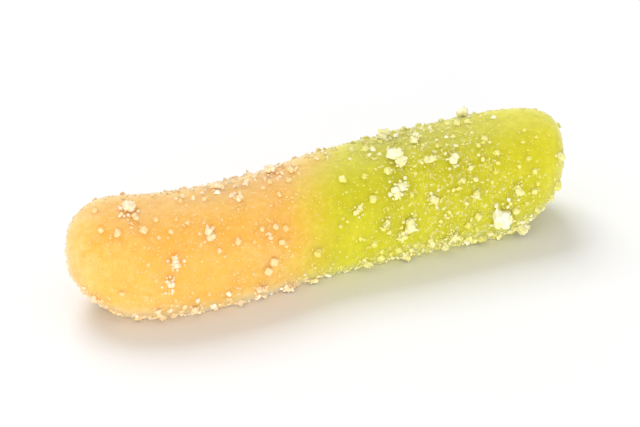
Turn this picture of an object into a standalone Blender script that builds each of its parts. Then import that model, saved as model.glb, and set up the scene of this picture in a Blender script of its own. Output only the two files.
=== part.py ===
"""A sugared gummy worm, as one solid.

A soft two-colour jelly sweet lies in a shallow S on the table. Its orange end is
round and its lime end is blunt. The underside is flat where it rests, and both
ends lift a little off the table. Sugar clings to it, thickly on the lime half.

Metres, +Z up. +X runs along the worm, from the round nose to the blunt tail, and
the origin is on the table under the middle of the sweet.
"""

import math
import random

import bmesh
import bpy
from mathutils import Euler, Matrix, Vector

MM = 0.001

# The jelly body, out to the skin of fine sugar on it
LENGTH = 53.4 * MM                  # along the bent middle line
WIDTH = 12.2 * MM
HEIGHT = 10.5 * MM
SPINE_HEIGHT = 0.46 * HEIGHT        # the middle line above the table
SPINE_START = Vector((-25.85 * MM, 3.96 * MM, 0.0))

# Both lists are read at equal steps from the nose to the tail
HEADINGS = (-36.0, -8.0, 7.0, -2.0, -4.0, -18.0)    # way the worm points, in degrees
GIRTHS = (1.04, 1.00, 0.97, 1.00, 1.03, 0.99)       # thickness, as a share of the sizes above

# The ends
NOSE_LENGTH = 9.5 * MM
NOSE_SQUARENESS = 2.4               # 2 is a true ellipse, higher is blunter
NOSE_LIFT = 1.7 * MM
TAIL_LENGTH = 10.5 * MM
TAIL_SQUARENESS = 2.9
TAIL_LIFT = 2.5 * MM

# The cross-section, a soft oval. The table cuts its lowest part off flat.
SECTION_SQUARENESS = 2.4
BELLY_DEPTH = 1.25 * SPINE_HEIGHT   # from the middle line down, before the cut
SECTION_POINTS = 32

# The rings of the body
END_RINGS = 11
RING_SPACING = 1.3 * MM
FIRST_RING_ANGLE = 0.07             # radians, where an end closes with a small cap
HEADING_STEP = 0.25 * MM            # fine steps that add up to the middle line
PROBE_LENGTH = 0.2 * MM             # steps that find the way out of the skin
PROBE_ANGLE = 0.03                  # radians
SHARP_ANGLE = 35.0                  # degrees, past which an edge is shaded sharp

# Slow dents and swellings left by the mould and by handling, as waves that start
# at their own phases along X, Y and Z
DENT_DEPTH = 0.14 * MM
DENT_LENGTHS = (17.0 * MM, 10.0 * MM, 6.5 * MM)
DENT_PHASES = ((0.0, 0.6, 1.1), (1.7, 2.9, 2.0), (3.4, 5.2, 2.9))

# The big clumps of sugar: place along the worm and round it, and width. Round it,
# 0 degrees is the side towards -Y, 90 is the top and 180 is the side towards +Y.
CLUMPS = (
    (6.0 * MM, 86.0, 1.6 * MM),
    (6.5 * MM, 72.0, 0.9 * MM),
    (9.5 * MM, 20.0, 1.2 * MM),
    (9.0 * MM, 0.0, 1.2 * MM),
    (12.5 * MM, 44.0, 1.2 * MM),
    (18.0 * MM, 26.0, 0.8 * MM),
    (17.0 * MM, 80.0, 1.0 * MM),
    (16.0 * MM, 101.0, 1.4 * MM),
    (22.5 * MM, 102.0, 1.3 * MM),
    (24.0 * MM, 93.0, 0.9 * MM),
    (3.0 * MM, -30.0, 0.9 * MM),
    (8.0 * MM, -30.0, 0.9 * MM),
    (11.0 * MM, -30.0, 1.2 * MM),
    (17.0 * MM, -24.0, 1.0 * MM),
    (20.5 * MM, -44.0, 1.2 * MM),
    (23.5 * MM, -44.0, 1.0 * MM),
    (28.5 * MM, 24.0, 1.0 * MM),
    (31.5 * MM, 6.0, 0.9 * MM),
    (30.0 * MM, -36.0, 1.1 * MM),
    (33.5 * MM, 36.0, 1.7 * MM),
    (33.5 * MM, -8.0, 1.0 * MM),
    (34.5 * MM, 72.0, 1.8 * MM),
    (34.5 * MM, 0.0, 1.5 * MM),
    (34.5 * MM, -39.0, 1.2 * MM),
    (35.0 * MM, 106.0, 1.5 * MM),
    (37.0 * MM, 18.0, 1.3 * MM),
    (37.5 * MM, 90.0, 1.4 * MM),
    (37.5 * MM, 62.0, 1.2 * MM),
    (38.5 * MM, -36.0, 1.2 * MM),
    (39.5 * MM, -20.0, 1.2 * MM),
    (40.0 * MM, 55.0, 1.4 * MM),
    (41.5 * MM, 42.0, 0.9 * MM),
    (41.5 * MM, 13.0, 1.0 * MM),
    (44.0 * MM, 116.0, 1.5 * MM),
    (44.5 * MM, -12.0, 2.1 * MM),
    (47.0 * MM, 7.0, 1.2 * MM),
    (48.0 * MM, -42.0, 1.9 * MM),
    (51.5 * MM, -36.0, 0.9 * MM),
    (52.5 * MM, 17.0, 1.1 * MM),
    (12.0 * MM, 160.0, 1.1 * MM),
    (22.0 * MM, 145.0, 1.1 * MM),
    (30.0 * MM, 172.0, 1.3 * MM),
    (38.0 * MM, 150.0, 1.5 * MM),
    (46.0 * MM, 184.0, 1.6 * MM),
)

# A crystal is a block, its sides and its worn corners drawn as shares of its size
SIDE_SHARES = (0.75, 1.15)
CORNER_SHARES = (0.82, 1.0)
CLUMP_GRAIN = 0.38 * MM             # width of a clump for each of its crystals
CLUMP_SPREAD = 0.30                 # of its crystals' middles, as a share of its width
CLUMP_SHARES = (0.44, 0.60)         # size of its crystals, as a share of its width

# The single coarse crystals, a few large ones and many small ones
GRAIN_COUNT = 120
GRAIN_TRIES = 6000
GRAIN_SHARES = (0.02, 0.98)         # how far along they go
GRAIN_ANGLES = (-45.0, 225.0)       # how far round they go, in degrees
GRAIN_SIZES = (0.42 * MM, 0.85 * MM)
GRAIN_FALL = 1.6                    # higher makes more of them small
GRAIN_GAP = 1.1 * MM                # closest two crystals' middles may be
GRAIN_SINK = 0.05                   # how deep a crystal's middle lies, as a share of its size

# How thickly the sugar lies, at equal steps from the nose to the tail
SUGAR = (0.22, 0.30, 0.34, 0.26, 0.95, 1.00, 0.60)
HEM_ANGLES = (-38.0, 218.0)         # the two low edges, where more sugar gathers
HEM_WIDTH = 16.0                    # degrees
HEM_SHARE = 0.9                     # extra sugar there
BARE_LENGTH = 8.0 * MM              # of the tail, where the top is nearly bare
BARE_FADE = 3.0 * MM
BARE_SHARE = 0.85                   # of the sugar that is missing at the very top there
COLOUR_CHANGE = 0.452               # where orange turns to lime, as a share of the length
COLOUR_SLANT = 0.64                 # how far the change leans, along for each step across
TABLE_GAP = 0.08 * MM               # crystals keep this clear of the table
SEED = 11


def along(values, share):
    """Read a list that is spaced evenly from nose to tail as one smooth curve."""
    last = len(values) - 1
    place = min(max(share, 0.0), 1.0) * last
    i = min(int(place), last - 1)
    t = place - i
    before = values[max(i - 1, 0)]
    a = values[i]
    b = values[i + 1]
    after = values[min(i + 2, last)]
    slope = b - before
    bend = 2.0 * before - 5.0 * a + 4.0 * b - after
    turn = 3.0 * a - before - 3.0 * b + after
    return 0.5 * (2.0 * a + slope * t + bend * t ** 2 + turn * t ** 3)


def heading(s):
    return math.radians(along(HEADINGS, s / LENGTH))


def build_spine():
    """Add up the middle line on the table from its headings, in fine steps."""
    count = round(LENGTH / HEADING_STEP)
    step = LENGTH / count
    points = [SPINE_START.copy()]
    for i in range(count):
        angle = heading((i + 0.5) * step)
        points.append(points[-1] + step * Vector((math.cos(angle), math.sin(angle), 0.0)))
    return points


SPINE = build_spine()


def spine_point(s):
    """Give the place on the middle line, on the table, s metres from the nose."""
    place = s / LENGTH * (len(SPINE) - 1)
    i = min(int(place), len(SPINE) - 2)
    return SPINE[i].lerp(SPINE[i + 1], place - i)


def end_shares(s):
    """Say how far into the nose and into the tail s lies, each from 0 to 1."""
    nose = max((NOSE_LENGTH - s) / NOSE_LENGTH, 0.0)
    tail = max((s - LENGTH + TAIL_LENGTH) / TAIL_LENGTH, 0.0)
    return nose, tail


def ring_scale(s):
    """Give the size of the cross-section, which closes at both ends."""
    nose, tail = end_shares(s)
    nose_round = max(1.0 - nose ** NOSE_SQUARENESS, 0.0) ** (1.0 / NOSE_SQUARENESS)
    tail_round = max(1.0 - tail ** TAIL_SQUARENESS, 0.0) ** (1.0 / TAIL_SQUARENESS)
    return along(GIRTHS, s / LENGTH) * nose_round * tail_round


def spine_height(s):
    nose, tail = end_shares(s)
    return SPINE_HEIGHT * along(GIRTHS, s / LENGTH) + NOSE_LIFT * nose ** 2 + TAIL_LIFT * tail ** 2


def section_point(angle):
    """Give a point of the cross-section: sideways towards -Y, and up from the spine."""
    power = 2.0 / SECTION_SQUARENESS
    across = math.copysign(abs(math.cos(angle)) ** power, math.cos(angle)) * WIDTH / 2
    rise = abs(math.sin(angle)) ** power
    if math.sin(angle) >= 0.0:
        return across, rise * (HEIGHT - SPINE_HEIGHT)
    return across, -rise * BELLY_DEPTH


def dent(point):
    """Give how far the skin swells out at a point, a slow sum of waves."""
    total = 0.0
    for n, (length, phases) in enumerate(zip(DENT_LENGTHS, DENT_PHASES)):
        waves = [math.sin(2.0 * math.pi * value / length + phase) for value, phase in zip(point, phases)]
        total += sum(waves) / (3.0 * (n + 1))
    return total * DENT_DEPTH


def skin_point(s, angle):
    """Give the body's surface, s metres from the nose and angle round the section."""
    across, up = section_point(angle)
    facing = heading(s)
    sideways = Vector((math.sin(facing), -math.cos(facing), 0.0))
    scale = ring_scale(s)
    lift = Vector((0.0, 0.0, spine_height(s) + up * scale))
    return spine_point(s) + sideways * across * scale + lift


def skin_normal(s, angle):
    """Give the way out of the skin, from a small step along it and one round it."""
    before = skin_point(max(s - PROBE_LENGTH, 0.0), angle)
    after = skin_point(min(s + PROBE_LENGTH, LENGTH), angle)
    step_round = skin_point(s, angle + PROBE_ANGLE) - skin_point(s, angle - PROBE_ANGLE)
    return (after - before).cross(step_round).normalized()


def ring_places():
    """List the places of the body's rings, closer together where the ends curve in."""
    angles = []
    for i in range(END_RINGS):
        angles.append(FIRST_RING_ANGLE + (math.pi / 2 - FIRST_RING_ANGLE) * i / END_RINGS)
    places = [NOSE_LENGTH * (1.0 - math.cos(a) ** (2.0 / NOSE_SQUARENESS)) for a in angles]
    middle = LENGTH - NOSE_LENGTH - TAIL_LENGTH
    count = round(middle / RING_SPACING)
    places += [NOSE_LENGTH + middle * i / count for i in range(count + 1)]
    for a in reversed(angles):
        places.append(LENGTH - TAIL_LENGTH * (1.0 - math.cos(a) ** (2.0 / TAIL_SQUARENESS)))
    return places


def make_material(name, colour, roughness):
    material = bpy.data.materials.new(name)
    material.use_nodes = True
    shader = material.node_tree.nodes["Principled BSDF"]
    shader.inputs["Base Color"].default_value = (*colour, 1.0)
    shader.inputs["Roughness"].default_value = roughness
    shader.inputs["Metallic"].default_value = 0.0
    return material


def new_spline(name, dimensions, points):
    """Make a curve object of one straight-sided spline."""
    curve = bpy.data.curves.new(name, "CURVE")
    curve.dimensions = dimensions
    spline = curve.splines.new("POLY")
    spline.points.add(len(points) - 1)
    for target, point in zip(spline.points, points):
        target.co = (*point, 1.0)
    return bpy.data.objects.new(name, curve)


def mesh_from_curve(curve_object, name, collection):
    """Turn a curve object into a mesh object with welded caps, and remove the curve."""
    depsgraph = bpy.context.evaluated_depsgraph_get()
    mesh = bpy.data.meshes.new_from_object(curve_object.evaluated_get(depsgraph))
    mesh.name = name
    shape = bmesh.new()
    shape.from_mesh(mesh)
    bmesh.ops.remove_doubles(shape, verts=shape.verts, dist=0.001 * MM)
    bmesh.ops.recalc_face_normals(shape, faces=shape.faces)
    shape.to_mesh(mesh)
    shape.free()
    solid = bpy.data.objects.new(name, mesh)
    solid.matrix_world = curve_object.matrix_world
    collection.objects.link(solid)
    bpy.data.objects.remove(curve_object, do_unlink=True)
    return solid


def make_body(parts, helpers, materials):
    """Sweep the cross-section along the middle line, swelling and closing by its radius."""
    angles = [2.0 * math.pi * (i + 0.5) / SECTION_POINTS for i in range(SECTION_POINTS)]
    outline = [(*section_point(a), 0.0) for a in angles]
    section = new_spline("section_outline", "2D", outline)
    section.data.splines[0].use_cyclic_u = True
    section.hide_render = True
    section.display_type = "WIRE"
    helpers.objects.link(section)

    places = ring_places()
    spine = new_spline("spine", "3D", [spine_point(s) + Vector((0, 0, spine_height(s))) for s in places])
    for target, s in zip(spine.data.splines[0].points, places):
        target.radius = ring_scale(s)
    spine.data.twist_mode = "Z_UP"
    spine.data.bevel_mode = "OBJECT"
    spine.data.bevel_object = section
    spine.data.use_fill_caps = True
    helpers.objects.link(spine)

    body = mesh_from_curve(spine, "gummy_worm", parts)
    bpy.data.objects.remove(section, do_unlink=True)
    for material in materials:
        body.data.materials.append(material)
    return body


def soften(mesh):
    """Move the skin out and in by the dents."""
    normals = [vertex.normal.copy() for vertex in mesh.vertices]
    for vertex, normal in zip(mesh.vertices, normals):
        vertex.co += normal * dent(vertex.co)


def rest_on_table(mesh):
    """Cut the belly off flat at the table, and split the faces into triangles."""
    shape = bmesh.new()
    shape.from_mesh(mesh)
    everything = shape.verts[:] + shape.edges[:] + shape.faces[:]
    bmesh.ops.bisect_plane(shape, geom=everything, plane_co=(0, 0, 0), plane_no=(0, 0, -1), clear_outer=True)
    rim = [edge for edge in shape.edges if edge.is_boundary]
    bmesh.ops.contextual_create(shape, geom=rim)
    bmesh.ops.triangulate(shape, faces=shape.faces)
    bmesh.ops.recalc_face_normals(shape, faces=shape.faces)
    shape.to_mesh(mesh)
    shape.free()


def paint_halves(mesh):
    """Give the nose half the first material and the tail half the second."""
    change = spine_point(COLOUR_CHANGE * LENGTH)
    forward = Vector((1.0, -COLOUR_SLANT, 0.0))
    for polygon in mesh.polygons:
        polygon.material_index = 0 if (polygon.center - change).dot(forward) < 0.0 else 1


def make_crystal(name, middle, size, draw, collection, material):
    """Make one sugar crystal, a block with uneven sides, turned any way."""
    shape = bmesh.new()
    bmesh.ops.create_cube(shape, size=1.0)
    sides = Vector([size * draw.uniform(*SIDE_SHARES) for _ in range(3)])
    for vertex in shape.verts:
        vertex.co *= Vector([draw.uniform(*CORNER_SHARES) for _ in range(3)])
        vertex.co *= sides
    turn = Euler([draw.uniform(0.0, math.pi) for _ in range(3)]).to_matrix().to_4x4()
    bmesh.ops.triangulate(shape, faces=shape.faces)
    bmesh.ops.transform(shape, matrix=Matrix.Translation(middle) @ turn, verts=shape.verts)
    lowest = min(vertex.co.z for vertex in shape.verts)
    if lowest < TABLE_GAP:
        bmesh.ops.translate(shape, vec=(0.0, 0.0, TABLE_GAP - lowest), verts=shape.verts)
    mesh = bpy.data.meshes.new(name)
    shape.to_mesh(mesh)
    shape.free()
    mesh.materials.append(material)
    crystal = bpy.data.objects.new(name, mesh)
    collection.objects.link(crystal)


def make_clumps(draw, collection, material):
    """Pile a few crystals into each of the big clumps."""
    for n, (s, degrees, width) in enumerate(CLUMPS):
        angle = math.radians(degrees)
        normal = skin_normal(s, angle)
        middle = skin_point(s, angle)
        for k in range(round(width / CLUMP_GRAIN)):
            offset = Vector([draw.uniform(-CLUMP_SPREAD, CLUMP_SPREAD) for _ in range(3)]) * width
            offset += normal * (abs(offset.dot(normal)) - offset.dot(normal))
            size = width * draw.uniform(*CLUMP_SHARES)
            make_crystal(f"clump_{n}_{k}", middle + offset, size, draw, collection, material)


def sugar_density(s, angle):
    """Give how much sugar lies at a place, from 0 to 1, the most along the lower edges."""
    hem = sum(math.exp(-(((math.degrees(angle) - edge) / HEM_WIDTH) ** 2)) for edge in HEM_ANGLES)
    tail = min(max((s - LENGTH + BARE_LENGTH) / BARE_FADE + 0.5, 0.0), 1.0)
    bare = BARE_SHARE * tail * max(math.sin(angle), 0.0)
    return along(SUGAR, s / LENGTH) * (1.0 - bare) * (1.0 + HEM_SHARE * hem) / (1.0 + HEM_SHARE)


def make_grains(draw, collection, material):
    """Scatter single crystals, the largest first, none too close to another."""
    taken = [skin_point(s, math.radians(degrees)) for s, degrees, _ in CLUMPS]
    made = 0
    for _ in range(GRAIN_TRIES):
        s = draw.uniform(*GRAIN_SHARES) * LENGTH
        angle = math.radians(draw.uniform(*GRAIN_ANGLES))
        chance = draw.random()
        if made == GRAIN_COUNT or chance > sugar_density(s, angle):
            continue
        place = skin_point(s, angle)
        if min((place - other).length for other in taken) < GRAIN_GAP:
            continue
        taken.append(place)
        small, large = GRAIN_SIZES
        size = small + (large - small) * (1.0 - made / GRAIN_COUNT) ** GRAIN_FALL
        middle = place - skin_normal(s, angle) * size * GRAIN_SINK
        make_crystal(f"grain_{made}", middle, size, draw, collection, material)
        made += 1


def fuse(body, collection):
    """Join the crystals to the body as one solid."""
    union = body.modifiers.new("sugar", "BOOLEAN")
    union.operation = "UNION"
    union.solver = "EXACT"
    union.material_mode = "TRANSFER"
    union.operand_type = "COLLECTION"
    union.collection = collection
    depsgraph = bpy.context.evaluated_depsgraph_get()
    bare = body.data
    body.data = bpy.data.meshes.new_from_object(body.evaluated_get(depsgraph))
    body.modifiers.clear()
    bpy.data.meshes.remove(bare)
    for crystal in list(collection.objects):
        bpy.data.objects.remove(crystal, do_unlink=True)


def keep_largest_shell(mesh):
    """Fill the small hollows that the crystals seal in, and drop any loose scrap."""
    shape = bmesh.new()
    shape.from_mesh(mesh)
    left = set(shape.faces)
    shells = []
    while left:
        shell = [left.pop()]
        for face in shell:
            for edge in face.edges:
                for other in edge.link_faces:
                    if other in left:
                        left.remove(other)
                        shell.append(other)
        shells.append(shell)
    shells.sort(key=len)
    for shell in shells[:-1]:
        bmesh.ops.delete(shape, geom=shell, context="FACES")
    shape.to_mesh(mesh)
    shape.free()


def main():
    for thing in list(bpy.data.objects):
        bpy.data.objects.remove(thing, do_unlink=True)
    parts = bpy.data.collections.new("gummy_worm")
    helpers = bpy.data.collections.new("crystals")
    bpy.context.scene.collection.children.link(parts)
    bpy.context.scene.collection.children.link(helpers)

    orange = make_material("orange_jelly", (0.93, 0.45, 0.09), 0.45)
    lime = make_material("lime_jelly", (0.66, 0.68, 0.05), 0.45)
    sugar = make_material("sugar", (0.95, 0.94, 0.88), 0.3)

    body = make_body(parts, helpers, (orange, lime, sugar))
    soften(body.data)
    paint_halves(body.data)
    rest_on_table(body.data)
    draw = random.Random(SEED)
    make_clumps(draw, helpers, sugar)
    make_grains(draw, helpers, sugar)
    fuse(body, helpers)
    keep_largest_shell(body.data)
    body.data.shade_smooth()
    body.data.set_sharp_from_angle(angle=math.radians(SHARP_ANGLE))


main()
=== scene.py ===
# %% [markdown]
# # A sugared gummy worm
# A gummy worm is one soft rod of fruit jelly, poured in two colours that run into
# each other, and then rolled in sugar. Its looks come from three things: light that
# goes into the jelly and comes out again somewhere else, the fine sugar that frosts
# its skin, and the coarse white crystals that cling to it in uneven clumps.
#
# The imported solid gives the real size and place. This script dresses it.

import math
import random

import bmesh
import bpy
from mathutils import Euler, Matrix, Vector


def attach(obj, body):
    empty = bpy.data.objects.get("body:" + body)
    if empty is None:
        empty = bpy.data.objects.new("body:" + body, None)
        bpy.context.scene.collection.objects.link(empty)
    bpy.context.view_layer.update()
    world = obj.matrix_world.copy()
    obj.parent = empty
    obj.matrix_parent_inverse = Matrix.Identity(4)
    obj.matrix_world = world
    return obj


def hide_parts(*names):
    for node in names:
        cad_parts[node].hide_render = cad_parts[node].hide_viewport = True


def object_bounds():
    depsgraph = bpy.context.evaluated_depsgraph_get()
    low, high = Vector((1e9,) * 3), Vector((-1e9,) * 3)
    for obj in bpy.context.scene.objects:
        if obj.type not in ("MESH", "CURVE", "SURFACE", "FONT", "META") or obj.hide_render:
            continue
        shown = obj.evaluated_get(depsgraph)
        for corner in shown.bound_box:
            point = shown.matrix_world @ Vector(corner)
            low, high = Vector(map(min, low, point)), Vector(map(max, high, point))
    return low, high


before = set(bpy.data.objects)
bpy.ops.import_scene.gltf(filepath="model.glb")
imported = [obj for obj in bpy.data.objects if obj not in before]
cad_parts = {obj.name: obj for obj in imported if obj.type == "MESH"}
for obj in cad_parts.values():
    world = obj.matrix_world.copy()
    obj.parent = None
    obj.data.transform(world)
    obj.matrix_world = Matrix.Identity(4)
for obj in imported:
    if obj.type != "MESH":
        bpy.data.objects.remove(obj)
cad_low, cad_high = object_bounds()
MM = 0.001
cad_size = [round((high - low) / MM, 2) for low, high in zip(cad_low, cad_high)]
print("the solid is", cad_size, "mm")

# %% [markdown]
# ## The middle line
# A soft sweet never lies straight. Its middle line could be a curve with handles,
# but a few headings, read at equal steps from the round nose to the blunt tail, say
# the same in numbers that are easy to change. A smooth curve is read through them,
# and small steps in each heading add up to the line. The same few numbers also give
# the girth, so the worm swells and narrows gently.

# %% The line from its headings
LENGTH = 53.4 * MM
SPINE_START = Vector((-25.85 * MM, 3.96 * MM, 0.0))
HEADINGS = (-36.0, -8.0, 7.0, -2.0, -4.0, -18.0)    # degrees
GIRTHS = (1.04, 1.00, 0.97, 1.00, 1.03, 0.99)
HEADING_STEP = 0.25 * MM


def along(values, share):
    """Read a list that is spaced evenly from nose to tail as one smooth curve."""
    last = len(values) - 1
    place = min(max(share, 0.0), 1.0) * last
    i = min(int(place), last - 1)
    t = place - i
    before = values[max(i - 1, 0)]
    a = values[i]
    b = values[i + 1]
    after = values[min(i + 2, last)]
    slope = b - before
    bend = 2.0 * before - 5.0 * a + 4.0 * b - after
    turn = 3.0 * a - before - 3.0 * b + after
    return 0.5 * (2.0 * a + slope * t + bend * t ** 2 + turn * t ** 3)


def heading(s):
    """Give the line's heading, in radians from +X, s metres from the nose."""
    return math.radians(along(HEADINGS, s / LENGTH))


def build_spine():
    """Add up the middle line on the table from its headings, in fine steps."""
    count = round(LENGTH / HEADING_STEP)
    step = LENGTH / count
    points = [SPINE_START.copy()]
    for i in range(count):
        angle = heading((i + 0.5) * step)
        points.append(points[-1] + step * Vector((math.cos(angle), math.sin(angle), 0.0)))
    return points


SPINE = build_spine()


def spine_point(s):
    """Give the place on the middle line, on the table, s metres from the nose."""
    place = s / LENGTH * (len(SPINE) - 1)
    i = min(int(place), len(SPINE) - 2)
    return SPINE[i].lerp(SPINE[i + 1], place - i)


print("the middle line runs from", SPINE[0], "to", SPINE[-1])

# %% [markdown]
# ## The skin as a formula
# The cross-section is a soft oval, a superellipse, that the table presses flat from
# below. Both ends close along the same kind of curve, the nose rounder and the tail
# blunter, and lift a little off the table. With a formula for the skin, a crystal
# can be put anywhere on it by two numbers: how far along, and how far round.

# %% Section, ends and lift
WIDTH = 12.2 * MM
HEIGHT = 10.5 * MM
SPINE_HEIGHT = 0.46 * HEIGHT
BELLY_DEPTH = 1.25 * SPINE_HEIGHT
SECTION_SQUARENESS = 2.4
NOSE_LENGTH = 9.5 * MM
NOSE_SQUARENESS = 2.4
NOSE_LIFT = 1.7 * MM
TAIL_LENGTH = 10.5 * MM
TAIL_SQUARENESS = 2.9
TAIL_LIFT = 2.5 * MM
PROBE_LENGTH = 0.2 * MM
PROBE_ANGLE = 0.03                  # radians


def end_shares(s):
    """Say how far into the nose and into the tail s lies, each from 0 to 1."""
    nose = max((NOSE_LENGTH - s) / NOSE_LENGTH, 0.0)
    tail = max((s - LENGTH + TAIL_LENGTH) / TAIL_LENGTH, 0.0)
    return nose, tail


def ring_scale(s):
    """Give the size of the cross-section, which closes at both ends."""
    nose, tail = end_shares(s)
    nose_round = max(1.0 - nose ** NOSE_SQUARENESS, 0.0) ** (1.0 / NOSE_SQUARENESS)
    tail_round = max(1.0 - tail ** TAIL_SQUARENESS, 0.0) ** (1.0 / TAIL_SQUARENESS)
    return along(GIRTHS, s / LENGTH) * nose_round * tail_round


def spine_height(s):
    """Give how high the middle line runs, higher where the ends lift off the table."""
    nose, tail = end_shares(s)
    return SPINE_HEIGHT * along(GIRTHS, s / LENGTH) + NOSE_LIFT * nose ** 2 + TAIL_LIFT * tail ** 2


def skin_point(s, angle):
    """Give the skin at s metres from the nose. Angle 0 is the -Y side, a quarter turn is the top."""
    power = 2.0 / SECTION_SQUARENESS
    across = math.copysign(abs(math.cos(angle)) ** power, math.cos(angle)) * WIDTH / 2
    rise = abs(math.sin(angle)) ** power
    up = rise * (HEIGHT - SPINE_HEIGHT) if math.sin(angle) >= 0.0 else -rise * BELLY_DEPTH
    facing = heading(s)
    sideways = Vector((math.sin(facing), -math.cos(facing), 0.0))
    scale = ring_scale(s)
    lift = Vector((0.0, 0.0, spine_height(s) + up * scale))
    return spine_point(s) + sideways * across * scale + lift


def skin_normal(s, angle):
    """Give the way out of the skin, from a small step along it and one round it."""
    before = skin_point(max(s - PROBE_LENGTH, 0.0), angle)
    after = skin_point(min(s + PROBE_LENGTH, LENGTH), angle)
    step_round = skin_point(s, angle + PROBE_ANGLE) - skin_point(s, angle - PROBE_ANGLE)
    return (after - before).cross(step_round).normalized()


print("the top of the worm is", round(skin_point(LENGTH / 2, math.pi / 2).z / MM, 2), "mm up")

# %% [markdown]
# ## Small helpers for node trees
# Geometry trees and materials are both made of nodes, links and values. One helper
# gives each input either a plain value or a link, and another adds a node with its
# options and inputs. Short ones for single kinds of node build on them. Three more
# start a geometry tree with an input for each value that it is run with, end it, and
# run it on a mesh to keep the result as a plain mesh.

# %% Node helpers
SOCKET_KINDS = {int: "NodeSocketInt", float: "NodeSocketFloat", str: "NodeSocketString"}


def set_inputs(tree, sockets, inputs):
    """Give each input a plain value, or a link from another node."""
    for key, value in inputs.items():
        if isinstance(value, bpy.types.NodeSocket):
            tree.links.new(value, sockets[key])
        else:
            sockets[key].default_value = value


def add_node(tree, kind, options=None, inputs=None):
    """Add a node, and set its options and its inputs."""
    node = tree.nodes.new(kind)
    for name, value in (options or {}).items():
        setattr(node, name, value)
    set_inputs(tree, node.inputs, inputs or {})
    return node


def by_identifier(node):
    """Give a node's sockets by identifier, for a kind of node where names repeat."""
    return {socket.identifier: socket for socket in (*node.inputs, *node.outputs)}


def math_node(tree, operation, *values):
    """Add a Math node and give its result."""
    return add_node(tree, "ShaderNodeMath", {"operation": operation}, dict(enumerate(values))).outputs[0]


def vector_node(tree, operation, *values):
    """Add a Vector Math node and give its result."""
    node = add_node(tree, "ShaderNodeVectorMath", {"operation": operation}, dict(enumerate(values)))
    return node.outputs["Value" if operation == "DOT_PRODUCT" else "Vector"]


def scaled_vector(tree, vector, scale):
    """Add a Vector Math node that makes a vector longer or shorter."""
    inputs = {"Vector": vector, "Scale": scale}
    return add_node(tree, "ShaderNodeVectorMath", {"operation": "SCALE"}, inputs).outputs["Vector"]


def read_attribute(tree, name, data_type="FLOAT"):
    """Read a value that the points carry under a name."""
    node = add_node(tree, "GeometryNodeInputNamedAttribute", {"data_type": data_type}, {"Name": name})
    return node.outputs["Attribute"]


def store_attribute(tree, geometry, name, value, data_type="FLOAT"):
    """Let the points carry a value under a name."""
    options = {"data_type": data_type, "domain": "POINT"}
    inputs = {"Geometry": geometry, "Name": name, "Value": value}
    return add_node(tree, "GeometryNodeStoreNamedAttribute", options, inputs).outputs["Geometry"]


def move_points(tree, geometry, key, vector):
    """Give points a new place with the key Position, or move them on with the key Offset."""
    inputs = {"Geometry": geometry, key: vector}
    return add_node(tree, "GeometryNodeSetPosition", None, inputs).outputs["Geometry"]


def new_geometry_tree(name, values):
    """Start a geometry tree with an input for each named value, and give it and the inputs."""
    tree = bpy.data.node_groups.new(name, "GeometryNodeTree")
    tree.interface.new_socket("Geometry", in_out="INPUT", socket_type="NodeSocketGeometry")
    for label, value in values.items():
        kind = SOCKET_KINDS.get(type(value), "NodeSocketMaterial")
        tree.interface.new_socket(label, in_out="INPUT", socket_type=kind)
    tree.interface.new_socket("Geometry", in_out="OUTPUT", socket_type="NodeSocketGeometry")
    return tree, tree.nodes.new("NodeGroupInput").outputs


def end_tree(tree, geometry, smooth, material):
    """Shade the real mesh smooth or flat, give it its material, and put it out."""
    inputs = {"Geometry": geometry, "Shade Smooth": smooth}
    shaded = add_node(tree, "GeometryNodeSetShadeSmooth", None, inputs).outputs["Geometry"]
    inputs = {"Geometry": shaded, "Material": material}
    painted = add_node(tree, "GeometryNodeSetMaterial", None, inputs).outputs["Geometry"]
    add_node(tree, "NodeGroupOutput", None, {"Geometry": painted})


def new_object(name, data):
    """Make an object and put it in the scene."""
    thing = bpy.data.objects.new(name, data)
    bpy.context.scene.collection.objects.link(thing)
    return thing


def run_tree(tree, mesh, name, values):
    """Run a geometry tree on a mesh, and give a plain mesh object of the result."""
    carrier = new_object(name, mesh)
    modifier = carrier.modifiers.new("nodes", "NODES")
    modifier.node_group = tree
    for item in tree.interface.items_tree:
        if item.in_out == "INPUT" and item.name in values:
            modifier[item.identifier] = values[item.name]
    carrier.update_tag()
    depsgraph = bpy.context.evaluated_depsgraph_get()
    result = bpy.data.meshes.new_from_object(carrier.evaluated_get(depsgraph))
    bpy.data.objects.remove(carrier, do_unlink=True)
    result.name = name
    return new_object(name, result)


# %% [markdown]
# ## The tint of the jelly
# Orange and lime were poured one after the other, so the colours meet in a short soft
# band, and neither is quite even. The crystals on the skin are clear enough to take
# on the colour under them. So the tint is a node group of its own: the jelly and the
# sugar both use it. It reads how far along the worm a point lies, from an attribute
# that every piece carries, and adds slow noise on Object coordinates.

# %% Colours and the tint group
def colour(red, green, blue):
    """Turn a colour as a screen shows it, 0 to 255, into the linear one that shaders use."""
    shares = [value / 255.0 for value in (red, green, blue)]
    return (*[s / 12.92 if s <= 0.04045 else ((s + 0.055) / 1.055) ** 2.4 for s in shares], 1.0)


# The light tints serve both the random patches and the painted glow on the rims.
ORANGE_DEEP = colour(231, 178, 75)
ORANGE_LIGHT = colour(239, 200, 127)
LIME_DEEP = colour(198, 192, 20)
LIME_LIGHT = colour(221, 214, 44)
SUGAR_CREAM = colour(250, 247, 234)

COLOUR_CHANGE = 0.488               # where orange turns to lime, as a share of the length
COLOUR_BLUR = 0.072                 # half the band in which they mix
COLOUR_SLANT = 0.70                 # how far the band leans, along for each step across
TINT_PATCH = 5.0 * MM               # size of the lighter and deeper patches
TINT_SPECK = 0.7 * MM               # and of the fine mottling in them
PATCH_STRENGTH = 0.8                # the patches' weight, where the mottling's is 1


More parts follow.
